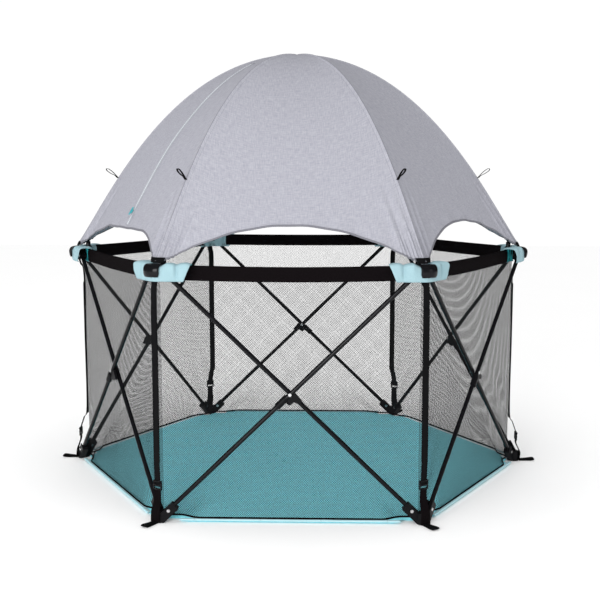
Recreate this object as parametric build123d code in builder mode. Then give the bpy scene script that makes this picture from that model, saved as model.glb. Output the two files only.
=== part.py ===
"""Hexagonal pop-up play yard: six scissor panels between folding corner hubs, a sewn mesh enclosure and a clip-on canopy.

Millimetres, +Z up, origin on the ground at the middle of the hexagon, front panel facing -Y.
Corner k stands at -60 + 60k degrees; panel k runs from corner k to corner k + 1.
"""

from build123d import *
import os
from math import acos, atan2, cos, degrees, hypot, radians, sin, tan

os.makedirs("parts", exist_ok=True)

# Scissor ring
panel_apothem = 590  # middle of the scissor plane, from the centre
half_pivot_span = 314  # pivots lie this far each side of a panel's middle
foot_pivot_z = 33
top_pivot_z = 645
lane_offset = 6.5  # the outer tube lies this far outside the scissor plane, the inner one inside it
tube_radius = 6
tube_wall = 1.2
tube_overhang = 9  # tube past each end pivot
tube_cap = 2.5
pin_radius = 2.5
pin_clearance = 0.06
rivet_head_radius = 4.6
rivet_head_height = 1.4
head_gap = 0.3
saddle_back = 0.9  # back face of the crossing bracket, just in front of the inner tube

# Corner hubs
arm_width = 18
arm_below = 15  # arm's underside and rim, from the axis of the resting tube
arm_above = 9
foot_arm_reach = 22  # past the pivot, along the tube
top_arm_reach = 15
channel_width = 12.8
tube_end_swing = 11.6  # room for the tube's end as it turns on its pivot
foot_sole_depth = 33
top_sole_depth = 20
foot_knuckle_height = 30
top_knuckle_height = 20
knuckle_radius = 14.5
webbing_offset = 4  # webbing plane, outside the corner axis
webbing_slot = (3.4, 21)

# Sewn enclosure
fabric_gap = 0.4
mat_thickness = 12
mat_edge_apothem = 596
piping_radius = 3.5
hub_reach = 56  # the mat keeps inside the foot hubs up to this far from each corner
wall_out = -19.5  # inner face of the mesh wall, from the scissor plane
wall_thickness = 1
rail_bottom_z = 634
rail_top_z = 671
band_thickness = 10
pocket_reach = 93
pocket_bottom_z = 627
pocket_out = 19.1
pocket_skin = 1.5
pocket_corner_radius = 30
webbing_width = 19
webbing_thickness = 1.5
adjuster_heights = (105, 78, 112, 112, 84, 98)
adjuster_size = (27, 24, 5)
stake_loop_end = 742

# Canopy: profile over a corner, as Bezier control points (distance from the centre, height)
canopy_profile = ((0, 1247), (368, 1247), (573, 832), (668, 690))
canopy_inward = ((0, -1), (-0.3, -0.95), (-0.83, -0.55), (-0.85, -0.53))  # inward direction at each control point
canopy_thickness = 2
arch_peak_z = 764
arch_radius = 575
seam_gap = 0.15
seam_loop_middle = (556, 887)  # distance from the centre, height
pole_radius = 2.5
pole_crown = (1234, 501, 42.2)  # height, radius and half angle of a pole's top arc
pole_side_radius = 1397
pole_foot_z = 696
pole_spacing = 6  # the three poles cross one under another

# Corner clips
clip_wall = 4.5
clip_gap = 0.6
clip_reach = 24
clip_bottom_z = 636
clip_inner_out = -27
boss_radius = 7
socket_top_z = 686

# Door zip in the gore of panel 4
zip_panel = 4
zip_width = 9
zip_thickness = 1.5
zip_start_z = 779
zip_end_z = 1215

# Worked out from the above
half_side = panel_apothem * tan(radians(30))
corner_radius = panel_apothem / cos(radians(30))
pivot_from_corner = half_side - half_pivot_span
crossing_z = (foot_pivot_z + top_pivot_z) / 2
pivot_length = hypot(2 * half_pivot_span, top_pivot_z - foot_pivot_z)
rest_slope = atan2(top_pivot_z - foot_pivot_z, 2 * half_pivot_span)
flat_share = cos(radians(30))  # a gore's middle lies this share of a corner's distance from the centre
pole_turn = radians(pole_crown[2])
pole_extra = pole_side_radius - pole_crown[1]
side_centre_z = pole_crown[0] - pole_crown[1] - pole_extra * cos(pole_turn)
foot_sine = sin(acos((pole_foot_z - side_centre_z) / pole_side_radius))
tip_from_centre = pole_side_radius * foot_sine - pole_extra * sin(pole_turn)


def corner_angle(k):
    return -60 + 60 * k


def panel_plane(k, out=0):
    """Upright plane of panel k: x from corner k to corner k + 1, y up, z outwards."""
    normal = Vector(1, 0, 0).rotate(Axis.Z, corner_angle(k) + 30)
    return Plane(origin=normal * (panel_apothem + out), x_dir=normal.rotate(Axis.Z, 90), z_dir=normal)


def corner_plane(k, radius=corner_radius):
    """Upright plane through corner k and the centre: x outwards, y up."""
    outward = Vector(1, 0, 0).rotate(Axis.Z, corner_angle(k))
    return Plane(origin=outward * radius, x_dir=outward, z_dir=outward.rotate(Axis.Z, -90))


def ground_plane(k, height):
    """Level plane with its origin on corner axis k: x outwards."""
    outward = Vector(1, 0, 0).rotate(Axis.Z, corner_angle(k))
    return Plane(origin=outward * corner_radius + Vector(0, 0, height), x_dir=outward, z_dir=(0, 0, 1))


def wing_point(side, along, out):
    """Point in a corner's level plane, along one of its two panels and outside the scissor plane."""
    swing = radians(30)
    return (out * cos(swing) - along * sin(swing), side * (along * cos(swing) + out * sin(swing)))


def wing_outline(reach, outer, inner):
    """Plan of a strip that follows both panels from their corner."""
    return (
        wing_point(1, reach, outer),
        (outer / cos(radians(30)), 0),
        wing_point(-1, reach, outer),
        wing_point(-1, reach, inner),
        (inner / cos(radians(30)), 0),
        wing_point(1, reach, inner),
    )


def save(builder, name):
    builder.part.label = name
    export_step(builder.part, f"parts/{name}.step")


def arm_point(depth, ahead, above):
    """Point of a hub arm's side view, from the pivot along and across the resting tube: (from the corner, above the sole)."""
    x = pivot_from_corner + ahead * cos(rest_slope) - above * sin(rest_slope)
    return (x, depth + ahead * sin(rest_slope) + above * cos(rest_slope))


def arm_outline(depth, reach):
    """Side view of an arm that rises from the sole along the resting tube."""
    root = arm_point(depth, 0, -arm_below)
    toe = root[0] - root[1] / tan(rest_slope)
    brow = arm_point(depth, 0, arm_above)
    heel = brow[1] - brow[0] * tan(rest_slope)
    return ((0, 0), (toe, 0), arm_point(depth, reach, -arm_below), arm_point(depth, reach, arm_above), (0, heel))


def make_hub(name, k, pivot_z, rise, sole_depth, reach, knuckle_height):
    """Hub with two sloping channels that open upwards (rise 1) or downwards (rise -1) round the tube ends."""
    sole_z = pivot_z - rise * sole_depth
    arms = ((k, 1, rise * lane_offset), (k - 1, -1, -rise * lane_offset))
    channel = [(-14, 12), (-14, -tube_radius - 0.6), (60, -tube_radius - 0.6), (60, 60), (-14, 60)]
    with BuildPart() as hub:
        for panel, side, lane in arms:
            with BuildSketch(panel_plane(panel, lane)) as arm:
                with BuildLine():
                    Polyline(
                        *[(side * (s - half_side), sole_z + rise * h) for s, h in arm_outline(sole_depth, reach)],
                        close=True,
                    )
                make_face()
                fillet(arm.vertices().sort_by(Axis.Y)[-2:] if rise > 0 else arm.vertices().sort_by(Axis.Y)[:2], 3)
            extrude(amount=arm_width / 2, both=True)
        with BuildSketch(ground_plane(k, sole_z)):
            Circle(knuckle_radius)
        extrude(amount=rise * knuckle_height)
        for panel, side, lane in arms:
            with BuildSketch(panel_plane(panel, lane)):
                with BuildLine():
                    points = [arm_point(sole_depth, ahead, above) for ahead, above in channel]
                    Polyline(*[(side * (s - half_side), sole_z + rise * h) for s, h in points], close=True)
                make_face()
                with Locations((side * (pivot_from_corner - half_side), pivot_z)):
                    Circle(tube_end_swing)
            extrude(amount=channel_width / 2, both=True, mode=Mode.SUBTRACT)
            with BuildSketch(panel_plane(panel, lane)):
                with Locations((side * (pivot_from_corner - half_side), pivot_z)):
                    Circle(pin_radius + pin_clearance)
            extrude(amount=arm_width, both=True, mode=Mode.SUBTRACT)
        with BuildSketch(ground_plane(k, sole_z + rise * knuckle_height)):
            with Locations((webbing_offset, 0)):
                Rectangle(*webbing_slot)
        extrude(amount=-rise * (knuckle_height - 6), mode=Mode.SUBTRACT)
    save(hub, name)


def make_leg(name, k, slant, lane, centre_hole):
    """Capped tube from a foot pivot to the top pivot at the panel's other end."""
    plane = panel_plane(k, lane)
    foot = plane.from_local_coords(Vector(-slant * half_pivot_span, foot_pivot_z, 0))
    top = plane.from_local_coords(Vector(slant * half_pivot_span, top_pivot_z, 0))
    axis = (top - foot).normalized()
    bore_start = tube_overhang - tube_cap
    with BuildPart() as leg:
        with BuildSketch(Plane(origin=foot - axis * tube_overhang, z_dir=axis)):
            Circle(tube_radius)
        extrude(amount=pivot_length + 2 * tube_overhang)
        fillet(leg.edges().filter_by(GeomType.CIRCLE), 1.5)
        with BuildSketch(Plane(origin=foot - axis * bore_start, z_dir=axis)):
            Circle(tube_radius - tube_wall)
        extrude(amount=pivot_length + 2 * bore_start, mode=Mode.SUBTRACT)
        with BuildSketch(plane):
            with Locations((-half_pivot_span * slant, foot_pivot_z), (half_pivot_span * slant, top_pivot_z)):
                Circle(pin_radius)
            with Locations((0, crossing_z)):
                Circle(centre_hole)
        extrude(amount=tube_radius + 1, both=True, mode=Mode.SUBTRACT)
    save(leg, name)


def make_rivets(name, k, slant, lane, centre):
    """Rivets carried by one tube: at both ends, and at the crossing for the outer tube."""
    grip = arm_width / 2 + head_gap
    stack = lane_offset + tube_radius
    places = [(-slant * half_pivot_span, foot_pivot_z, lane - grip, lane + grip)]
    places.append((slant * half_pivot_span, top_pivot_z, lane - grip, lane + grip))
    if centre:
        places.append((0, crossing_z, -stack - head_gap, stack))
    with BuildPart() as rivets:
        for x, z, inner, outer in places:
            with BuildSketch(panel_plane(k, inner)):
                with Locations((x, z)):
                    Circle(pin_radius)
            extrude(amount=outer - inner)
            for face, way in ((outer, 1), (inner, -1)):
                with BuildSketch(panel_plane(k, face)):
                    with Locations((x, z)):
                        Circle(rivet_head_radius)
                extrude(amount=way * rivet_head_height, taper=20)
    save(rivets, name)


def make_saddle(name, k):
    """Stop bracket under the crossing, clipped over the outer tube and reaching in front of the inner one."""
    plane = panel_plane(k, lane_offset)
    middle = plane.from_local_coords(Vector(0, crossing_z, 0))
    foot = plane.from_local_coords(Vector(-half_pivot_span, foot_pivot_z, 0))
    axis = (middle - foot).normalized()
    web = ((-31, -19), (-22, -27), (-8, -22), (-4, -28), (3, -26), (10, -20), (22, -24), (32, -19), (14, 4), (3, -5), (-14, -2))
    with BuildPart() as saddle:
        with BuildSketch(Plane(origin=middle - axis * 46, z_dir=axis)):
            Circle(tube_radius + 3)
        extrude(amount=32)
        with BuildSketch(panel_plane(k, saddle_back)) as plate:
            with BuildLine():
                Polyline(*[(x, crossing_z + y) for x, y in web], close=True)
            make_face()
            fillet(plate.vertices(), 1.5)
        extrude(amount=8)
        with BuildSketch(Plane(origin=middle - axis * 60, z_dir=axis)):
            Circle(tube_radius)
        extrude(amount=120, mode=Mode.SUBTRACT)
        with BuildSketch(panel_plane(k, saddle_back)):
            with Locations((0, crossing_z)):
                Rectangle(200, 200)
        extrude(amount=-20, mode=Mode.SUBTRACT)
        with BuildSketch(panel_plane(k, -1)):
            with Locations((0, crossing_z)):
                Circle(rivet_head_radius + 1)
        extrude(amount=30, mode=Mode.SUBTRACT)
    save(saddle, name)


def make_frame():
    for k in range(6):
        make_hub(f"foot_hub_{k}", k, foot_pivot_z, 1, foot_sole_depth, foot_arm_reach, foot_knuckle_height)
        make_hub(f"top_hub_{k}", k, top_pivot_z, -1, top_sole_depth, top_arm_reach, top_knuckle_height)
        make_leg(f"leg_outer_{k}", k, 1, lane_offset, pin_radius)
        make_leg(f"leg_inner_{k}", k, -1, -lane_offset, pin_radius + pin_clearance)
        make_rivets(f"outer_rivets_{k}", k, 1, lane_offset, True)
        make_rivets(f"inner_rivets_{k}", k, -1, -lane_offset, False)
        make_saddle(f"cross_saddle_{k}", k)


def make_floor():
    inner_apothem = panel_apothem - pocket_out
    straight = 2 * (half_side - hub_reach)
    with BuildPart() as floor_mat:
        with BuildSketch():
            RegularPolygon(inner_apothem, 6, major_radius=False)
            for k in range(6):
                with Locations(Location(panel_plane(k).origin, (0, 0, corner_angle(k) + 30))):
                    with Locations((mat_edge_apothem - 20 - panel_apothem, 0)):
                        Rectangle(40, straight)
        extrude(amount=mat_thickness)
    save(floor_mat, "floor_mat")

    with BuildPart() as floor_piping:
        for k in range(6):
            normal = panel_plane(k).z_dir
            along = panel_plane(k).x_dir
            reach = mat_edge_apothem + piping_radius + 0.1
            start = normal * reach - along * (straight / 2) + Vector(0, 0, mat_thickness - piping_radius)
            with BuildSketch(Plane(origin=start, z_dir=along)):
                Circle(piping_radius)
            extrude(amount=straight)
    save(floor_piping, "floor_piping")


def make_walls():
    half_wall = (panel_apothem + wall_out) * tan(radians(30)) - 0.5
    step = half_side - pocket_reach - 1
    low, high, foot = pocket_bottom_z - 1, rail_bottom_z - fabric_gap, mat_thickness + fabric_gap
    with BuildPart() as mesh_walls:
        for k in range(6):
            with BuildSketch(panel_plane(k, wall_out)):
                with BuildLine():
                    Polyline(
                        (-half_wall, foot),
                        (half_wall, foot),
                        (half_wall, low),
                        (step, low),
                        (step, high),
                        (-step, high),
                        (-step, low),
                        (-half_wall, low),
                        close=True,
                    )
                make_face()
            extrude(amount=wall_thickness)
    save(mesh_walls, "mesh_walls")

    with BuildPart() as rail_bands:
        for k in range(6):
            with BuildSketch(panel_plane(k, wall_out + (wall_thickness - band_thickness) / 2)):
                with Locations((0, (rail_bottom_z + rail_top_z) / 2)):
                    Rectangle(2 * step, rail_top_z - rail_bottom_z)
            extrude(amount=band_thickness)
        fillet(rail_bands.edges().filter_by(Axis.Z, reverse=True).group_by(Axis.Z)[-1].filter_by(
            lambda edge: edge.length > 2 * band_thickness), 3)
    save(rail_bands, "rail_bands")


def make_pockets():
    with BuildPart() as corner_pockets:
        for k in range(6):
            with BuildSketch(ground_plane(k, pocket_bottom_z)) as outside:
                with BuildLine():
                    Polyline(*wing_outline(pocket_reach, pocket_out, -pocket_out), close=True)
                make_face()
                fillet(outside.vertices().sort_by(Axis.X)[-1], pocket_corner_radius)
            extrude(amount=rail_top_z - pocket_bottom_z)
        for k in range(6):
            skin_out = pocket_out - pocket_skin
            with BuildSketch(ground_plane(k, pocket_bottom_z - 1)) as inside:
                with BuildLine():
                    Polyline(*wing_outline(pocket_reach + 1, skin_out, -skin_out), close=True)
                make_face()
                fillet(inside.vertices().sort_by(Axis.X)[-1], pocket_corner_radius - pocket_skin)
            extrude(amount=rail_top_z - pocket_skin - pocket_bottom_z + 1, mode=Mode.SUBTRACT)
    save(corner_pockets, "corner_pockets")


def make_webbing():
    flat = webbing_thickness / 2
    half = webbing_width / 2
    lock_half = adjuster_size[1] / 2
    hub_rim = foot_knuckle_height
    with BuildPart() as corner_straps:
        for k, lock_z in enumerate(adjuster_heights):
            top, bottom = top_pivot_z + 12, lock_z + lock_half + fabric_gap
            with BuildSketch(Plane.XY.rotated((0, 0, corner_angle(k))).offset(bottom)):
                with Locations((corner_radius + webbing_offset, 0)):
                    Rectangle(webbing_thickness, webbing_width)
            extrude(amount=top - bottom)
    save(corner_straps, "corner_straps")

    with BuildPart() as strap_gussets:
        for k, lock_z in enumerate(adjuster_heights):
            side_plane = corner_plane(k, corner_radius + webbing_offset)
            face = Plane(origin=side_plane.origin, x_dir=side_plane.z_dir, z_dir=-side_plane.x_dir)
            top = lock_z - lock_half - fabric_gap
            right = ((half, hub_rim - 18), (half, hub_rim + 2), (17, hub_rim + 6), (half, top))
            left = tuple((-x, z) for x, z in reversed(right))
            with BuildSketch(face):
                with BuildLine():
                    Polyline(*right, *left, close=True)
                make_face()
            extrude(amount=flat, both=True)
    save(strap_gussets, "strap_gussets")

    with BuildPart() as strap_adjusters:
        for k, lock_z in enumerate(adjuster_heights):
            side_plane = corner_plane(k, corner_radius + webbing_offset)
            face = Plane(origin=side_plane.origin, x_dir=side_plane.z_dir, z_dir=-side_plane.x_dir)
            with BuildSketch(face):
                with Locations((0, lock_z)):
                    RectangleRounded(adjuster_size[0], adjuster_size[1], 3)
                with Locations((0, lock_z + 5.5), (0, lock_z - 5.5)):
                    Rectangle(webbing_width + 2, 6, mode=Mode.SUBTRACT)
            extrude(amount=adjuster_size[2] / 2, both=True)
    save(strap_adjusters, "strap_adjusters")

    with BuildPart() as stake_loops:
        loop_start = corner_radius + knuckle_radius + 1.5
        for k in range(6):
            with BuildSketch(Plane.XY.rotated((0, 0, corner_angle(k))).offset(fabric_gap)):
                with Locations(((loop_start + stake_loop_end) / 2, 0)):
                    Rectangle(stake_loop_end - loop_start, webbing_width)
            extrude(amount=2 * webbing_thickness)
    save(stake_loops, "stake_loops")


def shell_profile(low, high, share):
    """Closed outline between two depths under the canopy's outer surface, its distances shrunk by share."""
    rows = []
    for depth in (low, high):
        pairs = zip(canopy_profile, canopy_inward)
        rows.append([(max(r * share + depth * dx, 0), z + depth * dz) for (r, z), (dx, dz) in pairs])
    Bezier(*rows[0])
    Bezier(*rows[1])
    Line(rows[0][0], rows[1][0])
    Line(rows[0][-1], rows[1][-1])


def gore_plane(k):
    """Upright plane through the centre and the middle of panel k: x outwards, y up."""
    panel = panel_plane(k)
    return Plane(origin=(0, 0, 0), x_dir=panel.z_dir, z_dir=-panel.x_dir)


def make_canopy_cover():
    """Six flat-bottomed gores, each curved only from crown to foot, with an arched lower edge."""
    panel = panel_plane(0)
    edge = Vector(0, 1, 0).rotate(Axis.Z, corner_angle(0) + 30)
    start = panel.z_dir * (2 * seam_gap)
    with BuildPart() as gore:
        with BuildSketch(gore_plane(0)):
            with BuildLine():
                shell_profile(0, canopy_thickness, flat_share)
            make_face()
        extrude(amount=450, both=True)
        with BuildSketch(Plane.XY.offset(600)):
            with BuildLine():
                tips = [start + panel.z_dir * 900 + edge * side * 900 * tan(radians(30)) for side in (-1, 1)]
                Polyline(*[(point.X, point.Y) for point in (start, *tips)], close=True)
            make_face()
        extrude(amount=800, mode=Mode.INTERSECT)
        with BuildSketch(Plane(origin=(0, 0, 0), x_dir=panel.x_dir, z_dir=panel.z_dir)):
            with Locations((0, arch_peak_z - arch_radius)):
                Circle(arch_radius)
        extrude(amount=900, mode=Mode.SUBTRACT)
    with BuildPart() as canopy_cover:
        with PolarLocations(0, 6):
            add(gore.part)
    save(canopy_cover, "canopy_cover")


def make_poles():
    """Three bent rods, each a top arc between two longer side arcs, crossing one under another."""
    crown_z, crown_radius, half_angle = pole_crown
    with BuildPart() as canopy_poles:
        for i in range(3):
            crown_centre = crown_z - i * pole_spacing - crown_radius
            side_x, side_z = -pole_extra * sin(pole_turn), side_centre_z - i * pole_spacing
            foot_turn = degrees(acos((pole_foot_z - side_z) / pole_side_radius))
            plane = Plane(origin=(0, 0, 0), x_dir=corner_plane(i).x_dir, z_dir=corner_plane(i).z_dir)
            with BuildLine(plane):
                CenterArc((0, crown_centre), crown_radius, 90 - half_angle, 2 * half_angle)
                right = CenterArc((side_x, side_z), pole_side_radius, 90 - foot_turn, foot_turn - half_angle)
                CenterArc((-side_x, side_z), pole_side_radius, 90 + half_angle, foot_turn - half_angle)
            with BuildSketch(Plane(origin=right @ 0, z_dir=right % 0)):
                Circle(pole_radius)
            sweep()
    save(canopy_poles, "canopy_poles")

    with BuildPart() as pole_tips:
        for k in range(6):
            with BuildSketch(ground_plane(k, socket_top_z - 9)):
                with Locations((tip_from_centre - corner_radius, 0)):
                    Circle(pin_radius)
            extrude(amount=12)
            with BuildSketch(ground_plane(k, socket_top_z + head_gap)):
                with Locations((tip_from_centre - corner_radius, 0)):
                    Circle(pole_radius + 2)
            extrude(amount=6, taper=8)
    save(pole_tips, "pole_tips")

    with BuildPart() as canopy_crown:
        crown_under = crown_z - 2 * pole_spacing - pole_radius - 1
        with BuildSketch(Plane.XY.offset(crown_under)):
            Circle(24)
        extrude(amount=-4)
        fillet(canopy_crown.edges().filter_by(GeomType.CIRCLE), 1.5)
    save(canopy_crown, "canopy_crown")


def make_canopy_trim():
    """Door zip up the middle of one gore, its pull, and the webbing loops on the seams."""
    plane = gore_plane(zip_panel)
    with BuildPart() as canopy_zip:
        with BuildSketch(plane):
            with BuildLine():
                shell_profile(0, -zip_thickness, flat_share)
            make_face()
        extrude(amount=zip_width / 2, both=True)
        with BuildSketch(plane):
            with Locations((400, (zip_start_z + zip_end_z) / 2)):
                Rectangle(600, zip_end_z - zip_start_z)
        extrude(amount=zip_width, both=True, mode=Mode.INTERSECT)
    save(canopy_zip, "canopy_zip")

    slider_at = canopy_zip.vertices().filter_by(lambda v: v.Z < zip_start_z + 1).sort_by(
        lambda v: hypot(v.X, v.Y))[-1]
    lean = degrees(atan2(canopy_profile[3][0] - canopy_profile[2][0], canopy_profile[2][1] - canopy_profile[3][1]))
    base = plane.x_dir * hypot(slider_at.X, slider_at.Y) + Vector(0, 0, zip_start_z + 9)
    down = plane.x_dir * sin(radians(lean)) + Vector(0, 0, -cos(radians(lean)))
    face = Plane(origin=base - plane.x_dir * 4.2, x_dir=plane.z_dir, z_dir=down.cross(plane.z_dir))
    lift = 1 if face.z_dir.dot(plane.x_dir) > 0 else -1
    with BuildPart() as zip_pull:
        with BuildSketch(face.offset(lift * 1.2)):
            RectangleRounded(zip_width, 12, 2)
        extrude(amount=lift * 2.5)
        with BuildSketch(face.offset(lift * 3.7)):
            SlotOverall(26, 7, rotation=90)
        extrude(amount=lift * 1.6)
    save(zip_pull, "zip_pull")

    with BuildPart() as seam_loops:
        for k in range(6):
            with BuildSketch(corner_plane(k, 0)):
                with Locations(seam_loop_middle):
                    Circle(10)
                    Circle(8.5, mode=Mode.SUBTRACT)
            extrude(amount=6, both=True)
    save(seam_loops, "seam_loops")


def make_clips():
    """Clips over the pocketed corners, each with a socket for a pole tip."""
    outer = pocket_out + clip_gap + clip_wall
    gap_out = pocket_out + clip_gap
    roof_z = rail_top_z + clip_gap
    with BuildPart() as corner_clips:
        for k in range(6):
            with BuildSketch(ground_plane(k, clip_bottom_z)) as shell:
                with BuildLine():
                    Polyline(*wing_outline(clip_reach, outer, clip_inner_out), close=True)
                make_face()
                fillet(shell.vertices().sort_by(Axis.X)[-1], pocket_corner_radius + clip_wall)
            extrude(amount=roof_z + clip_wall - clip_bottom_z, mode=Mode.ADD)
        for k in range(6):
            with BuildSketch(ground_plane(k, clip_bottom_z - 1)) as hollow:
                with BuildLine():
                    Polyline(*wing_outline(clip_reach + 20, gap_out, clip_inner_out - 20), close=True)
                make_face()
                fillet(hollow.vertices().sort_by(Axis.X)[-1], pocket_corner_radius)
            extrude(amount=roof_z - clip_bottom_z + 1, mode=Mode.SUBTRACT)
            with BuildSketch(ground_plane(k, roof_z + clip_wall)):
                with Locations((tip_from_centre - corner_radius, 0)):
                    Circle(boss_radius)
            extrude(amount=socket_top_z - roof_z - clip_wall)
            with BuildSketch(ground_plane(k, socket_top_z)):
                with Locations((tip_from_centre - corner_radius, 0)):
                    Circle(pin_radius + pin_clearance)
            extrude(amount=-11, mode=Mode.SUBTRACT)
    save(corner_clips, "corner_clips")


make_frame()
make_floor()
make_walls()
make_pockets()
make_webbing()
make_canopy_cover()
make_poles()
make_canopy_trim()
make_clips()
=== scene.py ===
"""Studio scene of a hexagonal pop-up play yard: scissor frame, sewn mesh enclosure and clip-on canopy.

Metres, +Z up, origin on the ground at the middle of the hexagon, front panel facing -Y.
Corner k stands at -60 + 60k degrees; panel k runs from corner k to corner k + 1.
"""

from math import asin, atan2, cos, exp, hypot, pi, radians, sin, sqrt, tan

import bpy
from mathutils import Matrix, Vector, noise


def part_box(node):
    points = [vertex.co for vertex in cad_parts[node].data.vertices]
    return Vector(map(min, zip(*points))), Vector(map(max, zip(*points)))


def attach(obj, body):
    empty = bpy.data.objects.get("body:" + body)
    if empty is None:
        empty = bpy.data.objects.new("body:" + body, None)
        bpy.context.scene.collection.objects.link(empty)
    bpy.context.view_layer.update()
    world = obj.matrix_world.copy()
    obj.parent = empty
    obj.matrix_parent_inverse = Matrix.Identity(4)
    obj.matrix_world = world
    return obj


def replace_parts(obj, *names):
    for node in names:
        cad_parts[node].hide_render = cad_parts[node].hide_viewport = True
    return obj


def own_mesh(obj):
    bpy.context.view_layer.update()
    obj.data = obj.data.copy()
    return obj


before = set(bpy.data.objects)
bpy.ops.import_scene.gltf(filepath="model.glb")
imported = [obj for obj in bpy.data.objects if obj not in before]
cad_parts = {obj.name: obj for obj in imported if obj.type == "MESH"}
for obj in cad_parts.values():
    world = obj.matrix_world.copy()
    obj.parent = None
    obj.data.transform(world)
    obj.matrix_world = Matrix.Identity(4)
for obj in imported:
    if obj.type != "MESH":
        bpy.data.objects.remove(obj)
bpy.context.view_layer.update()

MM = 0.001
UP = Vector((0, 0, 1))
APOTHEM = 0.590  # middle of the scissor plane
CORNER = APOTHEM / cos(radians(30))
HALF_SIDE = APOTHEM * tan(radians(30))
MAT_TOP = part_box("floor_mat")[1][2]
RAIL_LOW, RAIL_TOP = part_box("rail_bands")[0][2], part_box("rail_bands")[1][2]
POCKET_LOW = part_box("corner_pockets")[0][2]

WALL_OUT = -0.019  # netting, from the scissor plane
BAND_OUT = -0.019
POCKET_TOP_REACH, POCKET_LOW_REACH = 0.093, 0.074
POCKET_BEND = 0.020  # radius of the pocket's middle line round the corner
DART = 0.056  # the pocket is pinched this far along each wing
BAND_START = 0.0644
FLARED_WINGS = ((5, -1), (0, 1))  # pocket wings that stand open at their ends
NEAR_PANELS = (4, 5, 0)  # their rail bands hang a little slack
WEB_OUT = 0.004  # webbing, from the corner axis
KNUCKLE_FACE = 0.0160  # the gusset passes over the foot hub this far out of the corner axis
STRAIGHT_STRAPS = (0, 5)  # corners whose strap hangs straight; the others follow the netting in
LOCK_HEIGHTS = (0.105, 0.078, 0.112, 0.112, 0.084, 0.098)
PROFILE = ((0, 1.247), (0.368, 1.247), (0.573, 0.832), (0.668, 0.690))  # canopy over a corner
FOOT_LOW = 0.676
ARCH_PEAK, ARCH_FALL = 0.763, 0.87
ZIP_ARCH_PEAK = 0.742  # the zip's gore hangs lower and flatter
ZIP_PANEL = 4
SEAM_LOOP = (0.5535, 0.884)  # where the webbing loops leave the seams: distance from the centre, height
PLEAT = 0.0085  # spacing of the pleats on the feet
FOLD = 0.031  # spacing of the looser folds above them


def corner_dir(k):
    turn = radians(-60 + 60 * k)
    return Vector((cos(turn), sin(turn), 0))


def across(direction):
    """Level direction a quarter turn anticlockwise."""
    return Vector((-direction.y, direction.x, 0))


def panel_dir(k):
    turn = radians(-30 + 60 * k)
    return Vector((cos(turn), sin(turn), 0))


def on_panel(k, along, out, height):
    normal = panel_dir(k)
    return normal * (APOTHEM + out) + across(normal) * along + UP * height


def at_corner(k, out, side, height):
    direction = corner_dir(k)
    return direction * (CORNER + out) + across(direction) * side + UP * height


def smooth(low, high, value):
    t = min(max((value - low) / (high - low), 0), 1)
    return t * t * (3 - 2 * t)


def bump(value, width):
    return exp(-((value / width) ** 2))


def ripple(x, y, z, scale):
    """Smooth noise from about -1 to 1."""
    return noise.noise(Vector((x / scale, y / scale, z / scale)))


def through(points, count):
    """Evenly numbered points on a smooth curve through the given ones."""
    out = []
    last = len(points) - 1
    for i in range(count):
        place = i / (count - 1) * last
        j = min(int(place), last - 1)
        t = place - j
        a, b, c, d = (Vector(points[min(max(j + n, 0), last)]) for n in (-1, 0, 1, 2))
        curve = (2 * a - 5 * b + 4 * c - d) * t * t + (3 * b - a - 3 * c + d) * t**3
        out.append(0.5 * (2 * b + (c - a) * t + curve))
    return out


# Materials


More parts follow.
